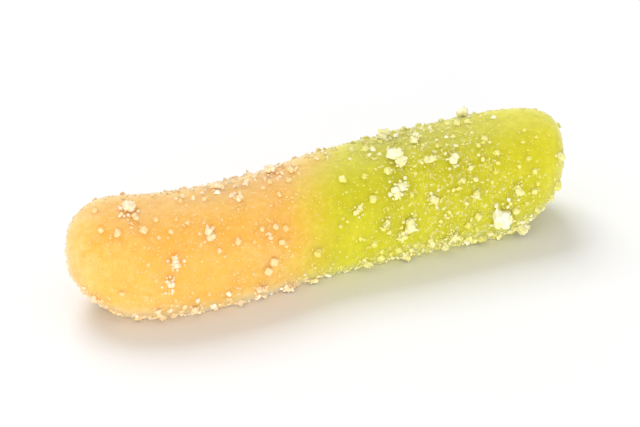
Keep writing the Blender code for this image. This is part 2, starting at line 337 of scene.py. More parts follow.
def new_shader_group(name, inputs, outputs):
    """Start a shader group with named inputs and outputs, and give its two end nodes."""
    group = bpy.data.node_groups.new(name, "ShaderNodeTree")
    for label, kind in inputs:
        group.interface.new_socket(label, in_out="INPUT", socket_type=kind)
    for label, kind in outputs:
        group.interface.new_socket(label, in_out="OUTPUT", socket_type=kind)
    return group, group.nodes.new("NodeGroupInput").outputs, group.nodes.new("NodeGroupOutput").inputs


def smooth_step(tree, value, low, high):
    """Go smoothly from 0 at low to 1 at high."""
    options = {"interpolation_type": "SMOOTHSTEP"}
    inputs = {"Value": value, "From Min": low, "From Max": high}
    return add_node(tree, "ShaderNodeMapRange", options, inputs).outputs["Result"]


def mix_colours(tree, share, first, second):
    """Go from the first colour to the second as the share goes from 0 to 1."""
    sockets = by_identifier(add_node(tree, "ShaderNodeMix", {"data_type": "RGBA"}))
    set_inputs(tree, sockets, {"Factor_Float": share, "A_Color": first, "B_Color": second})
    return sockets["Result_Color"]


def noise(tree, size, detail=2.0):
    """Give soft random clouds of a size on Object coordinates. They average a half."""
    place = tree.nodes.new("ShaderNodeTexCoord").outputs["Object"]
    inputs = {"Vector": place, "Scale": 1.0 / size, "Detail": detail}
    return add_node(tree, "ShaderNodeTexNoise", None, inputs).outputs["Fac"]


def build_tint_group():
    """Give the jelly's colour at a place, from orange to lime and from deep to light."""
    inputs = [("Along", "NodeSocketFloat"), ("Lightness", "NodeSocketFloat")]
    group, given, result = new_shader_group("jelly_tint", inputs, [("Color", "NodeSocketColor")])
    patches = noise(group, TINT_PATCH)
    wander = math_node(group, "MULTIPLY_ADD", patches, COLOUR_BLUR, -0.5 * COLOUR_BLUR)
    place = group.nodes.new("ShaderNodeTexCoord").outputs["Object"]
    across = add_node(group, "ShaderNodeSeparateXYZ", None, {"Vector": place}).outputs["Y"]
    slanted = math_node(group, "MULTIPLY_ADD", across, -COLOUR_SLANT / LENGTH, given["Along"])
    along_place = math_node(group, "ADD", slanted, wander)
    change = smooth_step(group, along_place, COLOUR_CHANGE - COLOUR_BLUR, COLOUR_CHANGE + COLOUR_BLUR)
    patchy = math_node(group, "MULTIPLY", patches, PATCH_STRENGTH)
    mottle = math_node(group, "ADD", patchy, noise(group, TINT_SPECK))
    mottle = math_node(group, "SUBTRACT", mottle, 0.5 * (PATCH_STRENGTH + 1.0))
    light = smooth_step(group, math_node(group, "ADD", given["Lightness"], mottle), 0.0, 1.0)
    orange = mix_colours(group, light, ORANGE_DEEP, ORANGE_LIGHT)
    lime = mix_colours(group, light, LIME_DEEP, LIME_LIGHT)
    group.links.new(mix_colours(group, change, orange, lime), result["Color"])
    return group


tint_group = build_tint_group()
print("the tint group has", len(tint_group.nodes), "nodes")

# %% [markdown]
# ## The finish of the jelly
# Jelly is neither clear nor opaque. Light wanders a few millimetres inside it, which
# fills the shadows with colour and makes the thin rims glow. The Principled shader's
# subsurface does that, and a painted glow makes the rims paler in the colour as well:
# near the table, at both ends and along the top. The skin is matt from fine sugar: a
# rough gloss, a little sheen at the edges, and a fine bump. Sugar dust lies on it as
# pale specks, more of them where the attribute sugar is high. Along the fringe it is
# an even, faint film instead, and where the painted glow is strongest the rims are
# painted a little creamier too.

# %% Jelly material
GRAIN_FINE = 0.16 * MM
GRAIN_BROAD = 0.45 * MM
BROAD_SHARE = 0.6                   # of the grain's height, and the fine grain has the rest
SPECK_EDGE = 0.68                   # a speck shows where the grain is higher than this
SPECK_EXTRA = 0.22                  # how much lower that edge is under the most sugar
SPECK_BLUR = 0.06
SPECK_CREAM = 0.35                  # how creamy the specks are
FRINGE_LESS = 0.22                  # and how much less so along the fringe
FRINGE_FILM = 0.07                  # how creamy the even film there is
# Painted glow: above this much of it the rim is painted creamier as well.
GLOW_MARK = 0.8                      # from this mark on a rim turns creamier
GLOW_CREAM = 0.5
JELLY_ROUGHNESS = (0.45, 0.3)       # the least, and what the grain adds
JELLY_BUMP = 0.04 * MM
SCATTER_SHARES = (1.0, 0.80, 0.35)  # how far red, green and blue wander
SCATTER_LENGTH = 6.0 * MM


def build_grain_group():
    """A fine sugary grain, as a height and as a mask of specks."""
    inputs = [("Amount", "NodeSocketFloat")]
    outputs = [("Height", "NodeSocketFloat"), ("Specks", "NodeSocketFloat")]
    group, given, result = new_shader_group("sugar_grain", inputs, outputs)
    fine = math_node(group, "MULTIPLY", noise(group, GRAIN_FINE, 3.0), 1.0 - BROAD_SHARE)
    height = math_node(group, "MULTIPLY_ADD", noise(group, GRAIN_BROAD), BROAD_SHARE, fine)
    group.links.new(height, result["Height"])
    edge = math_node(group, "MULTIPLY_ADD", given["Amount"], -SPECK_EXTRA, SPECK_EDGE)
    specks = smooth_step(group, height, edge, math_node(group, "ADD", edge, SPECK_BLUR))
    group.links.new(specks, result["Specks"])
    return group


grain_group = build_grain_group()


def use_group(tree, group, inputs=None):
    """Add a shader group to a tree, and give its outputs."""
    return add_node(tree, "ShaderNodeGroup", {"node_tree": group}, inputs).outputs


def shader_attribute(tree, name):
    """Read a value that the mesh carries under a name, in a material."""
    return add_node(tree, "ShaderNodeAttribute", {"attribute_name": name}).outputs["Fac"]


def bump(tree, height, strength, depth):
    """Give normals that make the heights look raised."""
    inputs = {"Height": height, "Strength": strength, "Distance": depth}
    return add_node(tree, "ShaderNodeBump", None, inputs).outputs["Normal"]


def new_material(name):
    """Make a material, and give it with its tree and its Principled shader's inputs."""
    material = bpy.data.materials.new(name)
    material.use_nodes = True
    tree = material.node_tree
    return material, tree, tree.nodes["Principled BSDF"].inputs


def build_jelly():
    """Make the jelly's finish, tinted with a painted glow on its rims, dusted with sugar, and lit from
    within.
    """
    material, tree, surface = new_material("jelly")
    # The tint's lightness is the painted glow: paler near the table, at both ends and along the crest.
    rim = shader_attribute(tree, "rim")
    edge = shader_attribute(tree, "edge")
    inputs = {"Along": shader_attribute(tree, "along"), "Lightness": rim}
    tint = use_group(tree, tint_group, inputs)["Color"]
    grain = use_group(tree, grain_group, {"Amount": shader_attribute(tree, "sugar")})
    cream = math_node(tree, "MULTIPLY_ADD", edge, -FRINGE_LESS, SPECK_CREAM)
    dust_and_glow = math_node(tree, "MULTIPLY", grain["Specks"], cream)
    dust_and_glow = math_node(tree, "MULTIPLY_ADD", edge, FRINGE_FILM, dust_and_glow)
    # Painted glow: the brightest rims are painted a little creamier, on top of the sugar dust.
    glow_share = math_node(tree, "MAXIMUM", math_node(tree, "SUBTRACT", rim, GLOW_MARK), 0.0)
    dust_and_glow = math_node(tree, "MULTIPLY_ADD", glow_share, GLOW_CREAM, dust_and_glow)
    least, more = JELLY_ROUGHNESS
    set_inputs(tree, surface, {
        "Base Color": mix_colours(tree, dust_and_glow, tint, SUGAR_CREAM),
        "Roughness": math_node(tree, "MULTIPLY_ADD", grain["Height"], more, least),
        "Normal": bump(tree, grain["Height"], 0.6, JELLY_BUMP),
        "Subsurface Weight": 1.0,
        "Subsurface Radius": SCATTER_SHARES,
        "Subsurface Scale": SCATTER_LENGTH,
        "Specular IOR Level": 0.3,
        "Sheen Weight": 0.5,
        "Sheen Roughness": 0.4,
    })
    return material


jelly = build_jelly()
print("the finish of the jelly has", len(jelly.node_tree.nodes), "nodes")

# %% [markdown]
# ## The jelly body
# The body is a sweep: one oval ring, carried along the middle line, that shrinks to
# nothing at both ends. Geometry Nodes suit it, because the whole shape follows a
# rule. Curve to Mesh does the sweep along the line on the table, and the rings are
# lifted after it, so they stay upright where the ends rise. Merge by Distance closes
# the two poles. The faces come out of the sweep pointing inwards, so Flip Faces turns
# them out, and the dents can move the skin along its normals. Slow waves dent it as
# the soft jelly is dented, and fine noise gives the skin its grain. At the end
# everything below the table is pressed flat onto it. The middle line carries how big
# and how high each ring is, and how far along it lies.

# %% The sweep tree
DENT_LENGTHS = (17.0 * MM, 10.0 * MM, 6.5 * MM)
DENT_PHASES = ((0.0, 0.6, 1.1), (1.7, 2.9, 2.0), (3.4, 5.2, 2.9))
WELD = 0.001 * MM
FROST_DEPTH = 0.05 * MM             # the fine sugar fills this out to the solid's skin

SWEEP = {
    "Round Points": 208,
    "Width": WIDTH,
    "Height": HEIGHT,
    "Spine Height": SPINE_HEIGHT,
    "Belly Depth": BELLY_DEPTH,
    "Squareness": SECTION_SQUARENESS,
    "Dent Depth": 0.14 * MM,
    "Frost Depth": FROST_DEPTH,
    "Relief Depth": 0.10 * MM,
    "Relief Size": 0.9 * MM,
    "Material": jelly,
}


def signed_power(tree, value, power):
    """Raise the size of a value to a power and keep its sign."""
    size = math_node(tree, "POWER", math_node(tree, "ABSOLUTE", value), power)
    return math_node(tree, "MULTIPLY", size, math_node(tree, "SIGN", value))


def section_nodes(tree, given):
    """Bend a round circle into the worm's cross-section, and note the angle round it."""
    circle = add_node(tree, "GeometryNodeCurvePrimitiveCircle", None, {"Resolution": given["Round Points"]})
    turn = tree.nodes.new("GeometryNodeSplineParameter").outputs["Factor"]
    angle = math_node(tree, "MULTIPLY", turn, math.tau)
    power = math_node(tree, "DIVIDE", 2.0, given["Squareness"])
    across = signed_power(tree, math_node(tree, "COSINE", angle), power)
    across = math_node(tree, "MULTIPLY", across, math_node(tree, "MULTIPLY", given["Width"], 0.5))
    rise = signed_power(tree, math_node(tree, "SINE", angle), power)
    top = math_node(tree, "SUBTRACT", given["Height"], given["Spine Height"])
    upper = math_node(tree, "MULTIPLY", math_node(tree, "MAXIMUM", rise, 0.0), top)
    lower = math_node(tree, "MULTIPLY", math_node(tree, "MINIMUM", rise, 0.0), given["Belly Depth"])
    down = math_node(tree, "MULTIPLY", math_node(tree, "ADD", upper, lower), -1.0)
    place = add_node(tree, "ShaderNodeCombineXYZ", None, {"X": across, "Y": down}).outputs["Vector"]
    noted = store_attribute(tree, circle.outputs["Curve"], "around", turn)
    return move_points(tree, noted, "Position", place)


def dent_nodes(tree, place, depth):
    """Give how far the skin swells out at a place, a slow sum of waves."""
    total = 0.0
    for n, (length, phases) in enumerate(zip(DENT_LENGTHS, DENT_PHASES)):
        turns = vector_node(tree, "MULTIPLY_ADD", place, (math.tau / length,) * 3, phases)
        shares = (1.0 / (3.0 * (n + 1)),) * 3    # a mean of three, less for finer waves
        waves = vector_node(tree, "DOT_PRODUCT", vector_node(tree, "SINE", turns), shares)
        total = math_node(tree, "ADD", waves, total)
    return math_node(tree, "MULTIPLY", total, depth)


def build_sweep_tree():
    """Sweep the ring along the line, lift it, close it, dent it and press it flat."""
    tree, given = new_geometry_tree("worm_sweep", SWEEP)
    line = add_node(tree, "GeometryNodeMeshToCurve", None, {"Mesh": given["Geometry"]}).outputs["Curve"]
    line = add_node(tree, "GeometryNodeSetCurveNormal", {"mode": "Z_UP"}, {"Curve": line}).outputs["Curve"]
    inputs = {
        "Curve": line,
        "Profile Curve": section_nodes(tree, given),
        "Scale": read_attribute(tree, "ring_scale"),
    }
    swept = add_node(tree, "GeometryNodeCurveToMesh", None, inputs).outputs["Mesh"]
    lift = add_node(tree, "ShaderNodeCombineXYZ", None, {"Z": read_attribute(tree, "lift")}).outputs["Vector"]
    inputs = {"Geometry": move_points(tree, swept, "Offset", lift), "Distance": WELD}
    closed = add_node(tree, "GeometryNodeMergeByDistance", None, inputs).outputs["Geometry"]
    turned = add_node(tree, "GeometryNodeFlipFaces", None, {"Mesh": closed}).outputs["Mesh"]
    place = tree.nodes.new("GeometryNodeInputPosition").outputs["Position"]
    normal = tree.nodes.new("GeometryNodeInputNormal").outputs["Normal"]
    inputs = {"Vector": place, "Scale": math_node(tree, "DIVIDE", 1.0, given["Relief Size"]), "Detail": 3.0}
    relief = add_node(tree, "ShaderNodeTexNoise", None, inputs).outputs["Fac"]
    relief = math_node(tree, "MULTIPLY", math_node(tree, "SUBTRACT", relief, 0.5), given["Relief Depth"])
    swell = math_node(tree, "ADD", dent_nodes(tree, place, given["Dent Depth"]), relief)
    swell = math_node(tree, "SUBTRACT", swell, given["Frost Depth"])
    dented = move_points(tree, turned, "Offset", scaled_vector(tree, normal, swell))
    parts = add_node(tree, "ShaderNodeSeparateXYZ", None, {"Vector": place}).outputs
    inputs = {"X": parts["X"], "Y": parts["Y"], "Z": math_node(tree, "MAXIMUM", parts["Z"], 0.0)}
    pressed = add_node(tree, "ShaderNodeCombineXYZ", None, inputs).outputs["Vector"]
    resting = move_points(tree, dented, "Position", pressed)
    real = add_node(tree, "GeometryNodeRealizeInstances", None, {"Geometry": resting}).outputs["Geometry"]
    end_tree(tree, real, True, given["Material"])
    return tree


sweep_tree = build_sweep_tree()
print("the sweep tree has", len(sweep_tree.nodes), "nodes")

# %% The middle line as a mesh, and the body
END_RINGS = 56
RING_SPACING = 0.18 * MM


def ring_places():
    """List the places of the body's rings, closer together where the ends curve in."""
    angles = [math.pi / 2 * i / END_RINGS for i in range(END_RINGS)]
    places = [NOSE_LENGTH * (1.0 - math.cos(a) ** (2.0 / NOSE_SQUARENESS)) for a in angles]
    middle = LENGTH - NOSE_LENGTH - TAIL_LENGTH
    count = round(middle / RING_SPACING)
    places += [NOSE_LENGTH + middle * i / count for i in range(count + 1)]
    for a in reversed(angles):
        places.append(LENGTH - TAIL_LENGTH * (1.0 - math.cos(a) ** (2.0 / TAIL_SQUARENESS)))
    return places


def add_attribute(mesh, name, values):
    """Let the points of a mesh carry a list of values under a name."""
    mesh.attributes.new(name, "FLOAT", "POINT").data.foreach_set("value", values)


def middle_line_mesh():
    """Make the middle line of points that carry each ring's size, height and place."""
    places = ring_places()
    mesh = bpy.data.meshes.new("middle_line")
    edges = [(i, i + 1) for i in range(len(places) - 1)]
    mesh.from_pydata([spine_point(s) for s in places], edges, [])
    add_attribute(mesh, "ring_scale", [ring_scale(s) for s in places])
    add_attribute(mesh, "lift", [spine_height(s) for s in places])
    add_attribute(mesh, "along", [s / LENGTH for s in places])
    return mesh


body = run_tree(sweep_tree, middle_line_mesh(), "worm_body", SWEEP)
print("the body has", len(body.data.vertices), "points and", len(body.data.polygons), "faces")

# %% [markdown]
# ## Where the sugar lies
# Sugar sticks where the jelly was moist. On this worm it is thin on the orange half
# and thick on the lime half, it gathers along both lower edges, and the top of the
# tail is nearly bare. A short list from nose to tail and two small rules say so. The
# results are stored on the body's points as attributes, for the finish to read and
# for the crystals to be scattered by: sugar, and frost for the finest of it. Two more
# follow. One is a painted glow that makes the jelly paler near the table, at the nose
# and tail, and along the top. It stands in for light that shines through the thin
# jelly and comes back from the table, and for sheen along the top. The other is the
# edge, where a fringe of larger crystals sits, along both lower edges and along the top.

# %% Sugar, frost, painted glow and edge attributes
SUGAR = (0.22, 0.30, 0.34, 0.26, 0.95, 1.00, 0.60)
HEM_ANGLES = (-38.0, 218.0)         # degrees, as are the widths
HEM_WIDTH = 16.0
HEM_SHARE = 0.9
BARE_LENGTH = 8.0 * MM
BARE_FADE = 3.0 * MM
BARE_SHARE = 0.85
LEAST_FROST = 0.25                  # how much frost there is even where no sugar lies
UNDERSIDE = 0.15 * MM               # lower than this the worm touches the table
FRINGE_ANGLES = (-43.0, 223.0)      # just where the sides turn under
FRINGE_WIDTH = 11.0
RIDGE = (0.1, 0.15, 0.6, 0.35, 1.0, 0.35, 0.15)
RIDGE_ANGLE = 105.0
RIDGE_WIDTH = 14.0
# Painted glow: the jelly is painted paler near the table, at both ends and along the crest.
GLOW_HEIGHT = 2.6 * MM
GLOW_NOSE = 0.07                     # shares of the length
GLOW_TAIL = 0.94
GLOW_TAIL_FADE = 0.06
CREST_ANGLE = 118.0
CREST_WIDTH = 24.0
GLOW_LEAST = 0.25
GLOW_WEIGHTS = (0.9, 0.4, 0.3, 0.65)    # near the table, at the nose, the tail and the crest
GLOW_MOST = 1.2


def bell(value, middle, width):
    """Give 1 at the middle, and smoothly less on both sides of it."""
    return math.exp(-(((value - middle) / width) ** 2))


def sugar_density(s, angle):
    """Give how much sugar lies at a place, from 0 to 1, the most along the lower edges."""
    hem = sum(bell(math.degrees(angle), edge, HEM_WIDTH) for edge in HEM_ANGLES)
    tail = min(max((s - LENGTH + BARE_LENGTH) / BARE_FADE + 0.5, 0.0), 1.0)
    bare = BARE_SHARE * tail * max(math.sin(angle), 0.0)
    return along(SUGAR, s / LENGTH) * (1.0 - bare) * (1.0 + HEM_SHARE * hem) / (1.0 + HEM_SHARE)


def mark_body(mesh):
    """Store sugar, frost, painted glow and edge on the body's points, and give the mean sugar."""
    marks = {"sugar": [], "frost": [], "rim": [], "edge": []}
    places = zip(mesh.vertices, mesh.attributes["along"].data, mesh.attributes["around"].data)
    for vertex, share, turn in places:
        degrees = (turn.value * 360.0 + 90.0) % 360.0 - 90.0
        clear = 1.0 if vertex.co.z > UNDERSIDE else 0.0
        density = sugar_density(share.value * LENGTH, math.radians(degrees))
        marks["sugar"].append(density * clear)
        marks["frost"].append((LEAST_FROST + (1.0 - LEAST_FROST) * density) * clear)
        # painted glow from each place: near the table, at the nose, at the tail and along the crest
        glow_share = (
            max(1.0 - vertex.co.z / GLOW_HEIGHT, 0.0),
            max(1.0 - share.value / GLOW_NOSE, 0.0),
            max((share.value - GLOW_TAIL) / GLOW_TAIL_FADE, 0.0),
            bell(degrees, CREST_ANGLE, CREST_WIDTH),
        )
        pale = sum((weight * part for weight, part in zip(GLOW_WEIGHTS, glow_share)), GLOW_LEAST)
        marks["rim"].append(min(pale, GLOW_MOST))
        near = sum(bell(degrees, angle, FRINGE_WIDTH) for angle in FRINGE_ANGLES)
        ridge = along(RIDGE, share.value) * bell(degrees, RIDGE_ANGLE, RIDGE_WIDTH)
        marks["edge"].append((near + ridge) * clear)
    for name, values in marks.items():
        add_attribute(mesh, name, values)
    return sum(marks["sugar"]) / len(marks["sugar"])


print("mean sugar share:", round(mark_body(body.data), 3))

# %% [markdown]
# ## The finish of the sugar
# Sugar crystals are clear, but so small and so many-sided that they look white, with
# a breath of the jelly's colour. Glass would be truer and very slow, and at this size
# a plain pale surface with a soft gloss looks the same. The coarse ones get a crumbly
# bump too. How white a crystal is comes from its attribute white, and the finest ones
# take a little more of the jelly's tint, so there are two finishes of one recipe.

# %% Sugar materials
SUGAR_LIGHTNESS = 0.6               # how light the jelly's tint is in the sugar
SUGAR_CLOUD = 0.2                   # how much more tint there is where the grain is high
SUGAR_ROUGHER = 0.25                # what the grain adds to the roughness
CRUMB_DEPTH = 0.06 * MM
SUGAR_BENDING = 1.54                # index of refraction of sugar


def build_sugar(name, tint_share, roughness, crumb):
    """Make a finish of sugar that takes a share of the jelly's tint."""
    material, tree, surface = new_material(name)
    inputs = {"Along": shader_attribute(tree, "along"), "Lightness": SUGAR_LIGHTNESS}
    tint = use_group(tree, tint_group, inputs)["Color"]
    grain = use_group(tree, grain_group)["Height"]
    share = math_node(tree, "SUBTRACT", 1.0, shader_attribute(tree, "white"))
    pale = mix_colours(tree, math_node(tree, "MULTIPLY", share, tint_share), SUGAR_CREAM, tint)
    set_inputs(tree, surface, {
        "Base Color": mix_colours(tree, math_node(tree, "MULTIPLY", grain, SUGAR_CLOUD), pale, tint),
        "Roughness": math_node(tree, "MULTIPLY_ADD", grain, SUGAR_ROUGHER, roughness),
        "IOR": SUGAR_BENDING,
    })
    if crumb:
        set_inputs(tree, surface, {"Normal": bump(tree, grain, crumb, CRUMB_DEPTH)})
    return material


coarse_sugar = build_sugar("coarse_sugar", tint_share=0.85, roughness=0.3, crumb=0.8)
fine_sugar = build_sugar("fine_sugar", tint_share=0.90, roughness=0.4, crumb=0.0)
print("made the finishes", coarse_sugar.name, "and", fine_sugar.name)

# %% [markdown]
# ## Fine sugar
# Thousands of fine crystals frost the skin. They are scattered by Geometry Nodes:
# points by the frost attribute, a small block on each, turned any way, and then
# every corner is moved a little, so that no two crystals are alike. Before the
# blocks become real mesh, each point notes its own middle, which is what the corners
# are moved towards. A Rise below zero sets the blocks a little into the skin. The
# same tree also makes the specks, which are larger, and the fringe along the edges.

# %% The scatter tree
TABLE_GAP = 0.03 * MM
LOWEST_CORNER = (-1.0, -1.0, TABLE_GAP)    # metres, so only the height is limited
BLOCK_TURNS = ((0.0,) * 3, (math.tau,) * 3)
BLOCK_SIDES = ((0.7,) * 3, (1.2,) * 3)    # least and most, for a size of 1
CORNER_WEAR = ((0.5,) * 3, (1.0,) * 3)    # how much of its reach each corner keeps
BARE_WHITE = 0.35                   # how white a crystal may be where there is no sugar

PER_MM2 = 1.0 / MM ** 2

FROSTING = {
    "Where": "frost",
    "Density": 12.0 * PER_MM2,
    "Whitest": 0.15,
    "Least Sugar": 0.0,
    "Smallest": 0.12 * MM,
    "Largest": 0.28 * MM,
    "Fall": 2.0,
    "Rise": -0.20,
    "Spacing": 0.16 * MM,
    "Seed": 3,
    "Material": fine_sugar,
}


def random_value(tree, low, high, seed):
    """Add a random number for each point, or a random vector where the ends are vectors."""
    kind, ending = ("FLOAT_VECTOR", "") if isinstance(low, tuple) else ("FLOAT", "_001")
    node = add_node(tree, "FunctionNodeRandomValue", {"data_type": kind}, {"Seed": seed})
    sockets = by_identifier(node)
    set_inputs(tree, sockets, {"Min" + ending: low, "Max" + ending: high})
    return sockets["Value" + ending]


def build_scatter_tree():
    """Scatter uneven little blocks over a surface, as real mesh."""
    tree, given = new_geometry_tree("sugar_scatter", FROSTING)
    seeds = [math_node(tree, "ADD", given["Seed"], float(step)) for step in range(1, 6)]
    inputs = {
        "Mesh": given["Geometry"],
        "Distance Min": given["Spacing"],
        "Density Max": given["Density"],
        "Density Factor": read_attribute(tree, given["Where"]),
        "Seed": given["Seed"],
    }
    points = add_node(tree, "GeometryNodeDistributePointsOnFaces", {"distribute_method": "POISSON"}, inputs)
    draw = math_node(tree, "POWER", random_value(tree, 0.0, 1.0, seeds[0]), given["Fall"])
    spread = math_node(tree, "SUBTRACT", given["Largest"], given["Smallest"])
    size = math_node(tree, "MULTIPLY_ADD", draw, spread, given["Smallest"])
    lift = scaled_vector(tree, points.outputs["Normal"], math_node(tree, "MULTIPLY", size, given["Rise"]))
    raised = move_points(tree, points.outputs["Points"], "Offset", lift)
    place = tree.nodes.new("GeometryNodeInputPosition").outputs["Position"]
    noted = store_attribute(tree, raised, "middle", place, "FLOAT_VECTOR")
    white = math_node(tree, "MULTIPLY", random_value(tree, 0.0, 1.0, seeds[4]), given["Whitest"])
    sugar = math_node(tree, "MAXIMUM", read_attribute(tree, "sugar"), given["Least Sugar"])
    white = math_node(tree, "MULTIPLY", white, math_node(tree, "ADD", sugar, BARE_WHITE))
    noted = store_attribute(tree, noted, "white", math_node(tree, "MINIMUM", white, 1.0))
    turn = random_value(tree, *BLOCK_TURNS, seeds[1])
    sides = random_value(tree, *BLOCK_SIDES, seeds[2])
    inputs = {
        "Points": noted,
        "Instance": tree.nodes.new("GeometryNodeMeshCube").outputs["Mesh"],
        "Rotation": add_node(tree, "FunctionNodeEulerToRotation", None, {"Euler": turn}).outputs["Rotation"],
        "Scale": scaled_vector(tree, sides, size),
    }
    blocks = add_node(tree, "GeometryNodeInstanceOnPoints", None, inputs).outputs["Instances"]
    real = add_node(tree, "GeometryNodeRealizeInstances", None, {"Geometry": blocks}).outputs["Geometry"]
    middle = read_attribute(tree, "middle", "FLOAT_VECTOR")
    reach = vector_node(tree, "SUBTRACT", place, middle)
    worn = random_value(tree, *CORNER_WEAR, seeds[3])
    moved = vector_node(tree, "ADD", middle, vector_node(tree, "MULTIPLY", reach, worn))
    moved = vector_node(tree, "MAXIMUM", moved, LOWEST_CORNER)
    end_tree(tree, move_points(tree, real, "Position", moved), False, given["Material"])
    return tree


scatter_tree = build_scatter_tree()


def scatter(name, values):
    """Scatter one kind of crystal on the body, and drop the helper attributes."""
    piece = run_tree(scatter_tree, body.data, name, values)
    for attribute in ("middle", "around", "frost", "sugar", "rim", "edge", "ring_scale", "lift"):
        if attribute in piece.data.attributes:
            piece.data.attributes.remove(piece.data.attributes[attribute])
    piece.data.materials.clear()
    piece.data.materials.append(values["Material"])
    crystals = len(piece.data.vertices) // 8
    print(name, "has", crystals, "crystals and", 2 * len(piece.data.polygons), "triangles")
    return piece


frosting = scatter("sugar_frosting", FROSTING)
specks = scatter("sugar_specks", {
    "Where": "sugar",
    "Density": 1.7 * PER_MM2,
    "Whitest": 0.35,
    "Least Sugar": 0.0,
    "Smallest": 0.28 * MM,
    "Largest": 0.58 * MM,
    "Fall": 2.2,
    "Rise": -0.20,
    "Spacing": 0.35 * MM,
    "Seed": 17,
    "Material": coarse_sugar,
})
fringe = scatter("sugar_fringe", {
    "Where": "edge",
    "Density": 3.0 * PER_MM2,
    "Whitest": 0.6,
    "Least Sugar": 1.0,
    "Smallest": 0.24 * MM,
    "Largest": 0.66 * MM,
    "Fall": 2.4,
    "Rise": 0.0,
    "Spacing": 0.26 * MM,
    "Seed": 29,
    "Material": coarse_sugar,
})

# %% [markdown]
# ## Coarse crystals and clumps
# The coarse crystals are part of the solid, so here they stand exactly where they
# stand there. The same seeded draws give the same places, sizes and turns. Only the
# finish differs: each block gets bevelled edges, as real sugar has, and each clump
# is crusted and ringed with smaller crystals. They are made in mesh code, because
# every draw has to come in the same order.

# %% A bevelled crystal
SIDE_SHARES = (0.75, 1.15)
CORNER_SHARES = (0.82, 1.0)
CRYSTAL_GAP = 0.08 * MM             # crystals keep this clear of the table
BEVEL_SHARE = 0.16


def add_crystal(target, marks, middle, size, mark, draw):
    """Add one crystal, a bevelled block with uneven sides, turned any way."""
    shape = bmesh.new()
    bmesh.ops.create_cube(shape, size=1.0)
    sides = Vector([size * draw.uniform(*SIDE_SHARES) for _ in range(3)])
    for vertex in shape.verts:
        vertex.co *= Vector([draw.uniform(*CORNER_SHARES) for _ in range(3)])
        vertex.co *= sides
    turn = Euler([draw.uniform(0.0, math.pi) for _ in range(3)]).to_matrix().to_4x4()
    bmesh.ops.transform(shape, matrix=Matrix.Translation(middle) @ turn, verts=shape.verts)
    lowest = min(vertex.co.z for vertex in shape.verts)
    if lowest < CRYSTAL_GAP:
        bmesh.ops.translate(shape, vec=(0.0, 0.0, CRYSTAL_GAP - lowest), verts=shape.verts)
    bmesh.ops.bevel(shape, geom=shape.edges[:], offset=size * BEVEL_SHARE, segments=1, affect="EDGES")
    crystal = bpy.data.meshes.new("crystal")
    shape.to_mesh(crystal)
    shape.free()
    target.from_mesh(crystal)
    marks.extend([mark] * len(crystal.vertices))
    bpy.data.meshes.remove(crystal)


def crystal_piece(name, target, marks):
    """Turn the joined crystals into one object that carries its place along the worm."""
    mesh = bpy.data.meshes.new(name)
    target.to_mesh(mesh)
    target.free()
    add_attribute(mesh, "along", [share for share, _ in marks])
    add_attribute(mesh, "white", [white for _, white in marks])
    mesh.materials.append(coarse_sugar)
    mesh.shade_flat()
    print(name, "has", len(mesh.polygons), "faces")
    return new_object(name, mesh)


# %% [markdown]
# The clumps' places were read off the sweet: how far along, how many degrees round,
# and how wide. The large crystals of a clump are the solid's, drawn in its order.
# Small ones crust them, and some of those pile up into short spikes. More small ones
# lie on the skin around each clump. All the small ones have a draw of their own, so
# they don't disturb the solid's order.

# %% Clumps
CLUMPS_MM = (
    # millimetres from the nose, degrees round, millimetres wide
    (6.0, 86.0, 1.6),
    (6.5, 72.0, 0.9),
    (9.5, 20.0, 1.2),
    (9.0, 0.0, 1.2),
    (12.5, 44.0, 1.2),
    (18.0, 26.0, 0.8),
    (17.0, 80.0, 1.0),
    (16.0, 101.0, 1.4),
    (22.5, 102.0, 1.3),
    (24.0, 93.0, 0.9),
    (3.0, -30.0, 0.9),
    (8.0, -30.0, 0.9),
    (11.0, -30.0, 1.2),
    (17.0, -24.0, 1.0),
    (20.5, -44.0, 1.2),
    (23.5, -44.0, 1.0),
    (28.5, 24.0, 1.0),
    (31.5, 6.0, 0.9),
    (30.0, -36.0, 1.1),
    (33.5, 36.0, 1.7),
    (33.5, -8.0, 1.0),
    (34.5, 72.0, 1.8),
    (34.5, 0.0, 1.5),
    (34.5, -39.0, 1.2),
    (35.0, 106.0, 1.5),
    (37.0, 18.0, 1.3),
    (37.5, 90.0, 1.4),
    (37.5, 62.0, 1.2),
    (38.5, -36.0, 1.2),
    (39.5, -20.0, 1.2),
    (40.0, 55.0, 1.4),
    (41.5, 42.0, 0.9),
    (41.5, 13.0, 1.0),
    (44.0, 116.0, 1.5),
    (44.5, -12.0, 2.1),
    (47.0, 7.0, 1.2),
    (48.0, -42.0, 1.9),
    (51.5, -36.0, 0.9),
    (52.5, 17.0, 1.1),
    (12.0, 160.0, 1.1),
    (22.0, 145.0, 1.1),
    (30.0, 172.0, 1.3),
    (38.0, 150.0, 1.5),
    (46.0, 184.0, 1.6),
)
CLUMPS = [(s * MM, degrees, width * MM) for s, degrees, width in CLUMPS_MM]
CLUMP_GRAIN = 0.38 * MM             # width of a clump for each of its large crystals
CLUMP_SPREAD = 0.30
CLUMP_SHARES = (0.44, 0.60)
CRUST_GRAIN = 0.34 * MM             # width for each small one, squared, that crusts them
CRUST_REACH = (0.36, 0.46)
CRUST_SIZES = (0.15 * MM, 0.32 * MM)
CRUST_STACKS = (1, 1, 1, 2, 3)      # some pile up into short spikes
STACK_STEP = 0.55                   # how far out the next one stands, for a size of 1
STACK_TAPER = 0.85                  # and how big it is
FILL_GRAIN = 0.13 * MM              # width for each small one that lies round them
FILL_SPREAD = 0.62
FILL_SHARES = (0.13, 0.26)
CLUMP_WHITE = (0.35, 0.95)
WHITE_WIDTH = 2.1 * MM              # from this width on a clump is as white as it gets
SEED = 11


def clump_offset(draw, spread, width, normal):
    """Draw a place near a clump's middle, and fold what is under the skin outwards."""
    offset = Vector([draw.uniform(-spread, spread) for _ in range(3)]) * width
    return offset + normal * (abs(offset.dot(normal)) - offset.dot(normal))


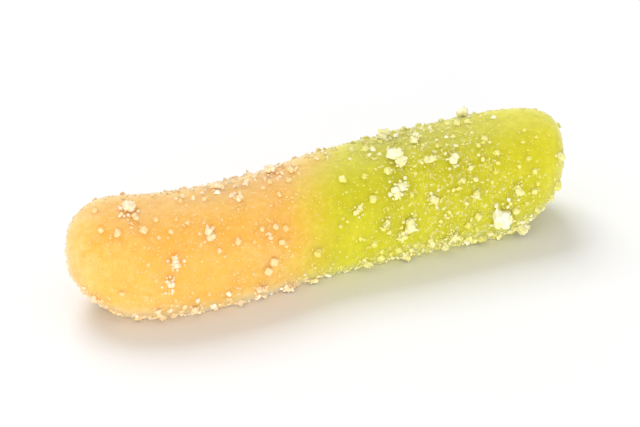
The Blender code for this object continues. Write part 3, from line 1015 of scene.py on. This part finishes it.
def make_clumps(draw, fill):
    """Pile a few crystals into each clump, with small ones on, round and between them."""
    target = bmesh.new()
    marks = []
    for s, degrees, width in CLUMPS:
        angle = math.radians(degrees)
        normal = skin_normal(s, angle)
        middle = skin_point(s, angle)
        large = []
        whites = [min(width / WHITE_WIDTH, 1.0) * share for share in CLUMP_WHITE]
        for _ in range(round(width / CLUMP_GRAIN)):
            offset = clump_offset(draw, CLUMP_SPREAD, width, normal)
            size = width * draw.uniform(*CLUMP_SHARES)
            large.append((middle + offset, size))
            add_crystal(target, marks, middle + offset, size, (s / LENGTH, fill.uniform(*whites)), draw)
        for _ in range(round((width / CRUST_GRAIN) ** 2)):
            centre, size = fill.choice(large)
            way = clump_offset(fill, 1.0, 1.0, normal).normalized()
            reach = size * fill.uniform(*CRUST_REACH)
            size = fill.uniform(*CRUST_SIZES)
            for _ in range(fill.choice(CRUST_STACKS)):
                mark = (s / LENGTH, fill.uniform(*whites))
                add_crystal(target, marks, centre + way * reach, size, mark, fill)
                reach += STACK_STEP * size
                size *= STACK_TAPER
        for _ in range(round(width / FILL_GRAIN)):
            near_s = s + fill.uniform(-FILL_SPREAD, FILL_SPREAD) * width
            near_angle = angle + fill.uniform(-FILL_SPREAD, FILL_SPREAD) * width / HEIGHT * 2.0
            place = skin_point(near_s, near_angle) - skin_normal(near_s, near_angle) * FROST_DEPTH / 2
            size = width * fill.uniform(*FILL_SHARES)
            add_crystal(target, marks, place, size, (s / LENGTH, fill.uniform(*whites)), fill)
    return crystal_piece("sugar_clumps", target, marks)


draw = random.Random(SEED)
clumps = make_clumps(draw, random.Random(SEED + 1))

# %% [markdown]
# Between the clumps lie single coarse crystals, which are the solid's too. Places are
# drawn along and round the worm, more are kept where there is more sugar, and one
# that is too near to another is dropped. The first ones kept are the largest, and
# the sizes fall off quickly, so the big ones are few.

# %% Single coarse crystals
GRAIN_COUNT = 120
GRAIN_TRIES = 6000
GRAIN_SHARES = (0.02, 0.98)
GRAIN_ANGLES = (-45.0, 225.0)
GRAIN_SIZES = (0.42 * MM, 0.85 * MM)
GRAIN_FALL = 1.6
GRAIN_GAP = 1.1 * MM
GRAIN_SINK = 0.05
GRAIN_WHITE = (0.05, 0.4)           # the most with no sugar round it, and what sugar adds


def make_grains(draw, tints):
    """Scatter single crystals, the largest first, none too close to another."""
    target = bmesh.new()
    marks = []
    taken = [skin_point(s, math.radians(degrees)) for s, degrees, _ in CLUMPS]
    made = 0
    small, large = GRAIN_SIZES
    least, more = GRAIN_WHITE
    for _ in range(GRAIN_TRIES):
        s = draw.uniform(*GRAIN_SHARES) * LENGTH
        angle = math.radians(draw.uniform(*GRAIN_ANGLES))
        chance = draw.random()
        if made == GRAIN_COUNT or chance > sugar_density(s, angle):
            continue
        place = skin_point(s, angle)
        if min((place - other).length for other in taken) < GRAIN_GAP:
            continue
        taken.append(place)
        size = small + (large - small) * (1.0 - made / GRAIN_COUNT) ** GRAIN_FALL
        middle = place - skin_normal(s, angle) * size * GRAIN_SINK
        white = tints.random() * (least + more * sugar_density(s, angle))
        add_crystal(target, marks, middle, size, (s / LENGTH, white), draw)
        made += 1
    return crystal_piece("sugar_grains", target, marks)


grains = make_grains(draw, random.Random(SEED + 2))

# %% [markdown]
# ## The table
# The sweet lies on a plain white table. One large flat sheet does for it, a hair below
# the belly, so that the two faces don't share one height. It is there for the picture
# only and belongs to no body.

# %% A white sheet
FLOOR_SIZE = 6.0
FLOOR_DROP = 0.02 * MM
FLOOR_PALE = colour(242, 242, 243)
FLOOR_DEEP = colour(238, 238, 240)
FLOOR_CLOUD = 50.0 * MM             # size of the faint clouds in its white


def build_floor():
    """Lay a white sheet under the worm."""
    material, tree, surface = new_material("white_table")
    white = mix_colours(tree, noise(tree, FLOOR_CLOUD), FLOOR_PALE, FLOOR_DEEP)
    set_inputs(tree, surface, {"Base Color": white, "Roughness": 0.6})
    mesh = bpy.data.meshes.new("table_top")
    shape = bmesh.new()
    bmesh.ops.create_grid(shape, x_segments=1, y_segments=1, size=FLOOR_SIZE / 2)
    bmesh.ops.translate(shape, vec=(0.0, 0.0, -FLOOR_DROP), verts=shape.verts)
    shape.to_mesh(mesh)
    shape.free()
    mesh.materials.append(material)
    return new_object("table_top", mesh)


floor = build_floor()
print("the table is", FLOOR_SIZE, "m wide")

# %% [markdown]
# ## Light
# The room is bright and a little warm, and its light comes from everywhere. A large
# soft lamp stands behind and above, so the only shadow is the short one in front of
# the worm, coloured by light from the jelly. A wide low lamp in front lights the lower
# sides and the fringe. Area lamps suit both, because their size softens the shadow.

# %% Room and lamps
ROOM_LIGHT = 0.71
ROOM_TINT = (1.0, 0.98, 0.955, 1.0)    # a warm room
LAMPS = (
    # name, azimuth and elevation in degrees, distance, width, height, watts, tint
    ("back_lamp", 182.0, 52.0, 0.9, 0.5, 0.5, 4.7, (0.94, 0.97, 1.0)),
    ("front_lamp", -24.0, 4.5, 0.9, 0.5, 0.13, 5.4, (1.0, 1.0, 1.0)),
)


def from_direction(azimuth, elevation, distance):
    """Give a place seen from the worm. Azimuth 0 is the -Y side."""
    a = math.radians(azimuth)
    e = math.radians(elevation)
    return Vector((math.sin(a) * math.cos(e), -math.cos(a) * math.cos(e), math.sin(e))) * distance


def build_room():
    """Light the scene evenly from all round."""
    world = bpy.data.worlds.new("bright_room")
    world.use_nodes = True
    background = world.node_tree.nodes["Background"].inputs
    set_inputs(world.node_tree, background, {"Color": ROOM_TINT, "Strength": ROOM_LIGHT})
    bpy.context.scene.world = world


def add_lamp(name, azimuth, elevation, distance, width, height, watts, tint):
    """Add a rectangular lamp that faces the worm."""
    light = bpy.data.lights.new(name, "AREA")
    light.shape = "RECTANGLE"
    light.size = width
    light.size_y = height
    light.energy = watts
    light.color = tint
    lamp = new_object(name, light)
    lamp.location = from_direction(azimuth, elevation, distance)
    lamp.rotation_euler = lamp.location.to_track_quat("Z", "Y").to_euler()


build_room()
for values in LAMPS:
    add_lamp(*values)
    print("added", values[0])
bpy.context.scene.view_settings.view_transform = "Standard"

# %% [markdown]
# ## Camera
# The camera stands half a metre away, to the left of the worm's side and 30 degrees
# up, and looks a little above the table. Its lens follows from its distance and from
# the width that the picture shows, so both can be changed without reckoning a lens.

# %% The camera
VIEW_AZIMUTH = -26.0
VIEW_ELEVATION = 30.0
VIEW_DISTANCE = 0.5
VIEW_WIDTH = 64.0 * MM              # how much the picture shows at the worm
VIEW_NEAREST = 10.0 * MM
AIM = Vector((0.0, 0.21 * MM, 5.0 * MM))


def build_camera():
    """Point a camera at the worm, with a lens for the width that it shows."""
    lens = bpy.data.cameras.new("camera")
    lens.lens = lens.sensor_width * VIEW_DISTANCE / VIEW_WIDTH
    lens.clip_start = VIEW_NEAREST
    camera = new_object("camera", lens)
    back = from_direction(VIEW_AZIMUTH, VIEW_ELEVATION, VIEW_DISTANCE)
    camera.location = AIM + back
    camera.rotation_euler = back.to_track_quat("Z", "Y").to_euler()
    bpy.context.scene.camera = camera
    return lens.lens


print("the lens is", round(build_camera()), "mm long")

# %% [markdown]
# ## Riding on the body
# Every piece rides on the one body of the model. The solid is hidden, and the jelly
# stands in its place. The pieces are listed by their finish.

# %% Riding, with the pieces listed by finish
FINISHES = {"jelly": (body,), "sugar": (frosting, specks, fringe, clumps, grains)}

for finish, pieces in FINISHES.items():
    for piece in pieces:
        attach(piece, "root")
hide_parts("gummy_worm")
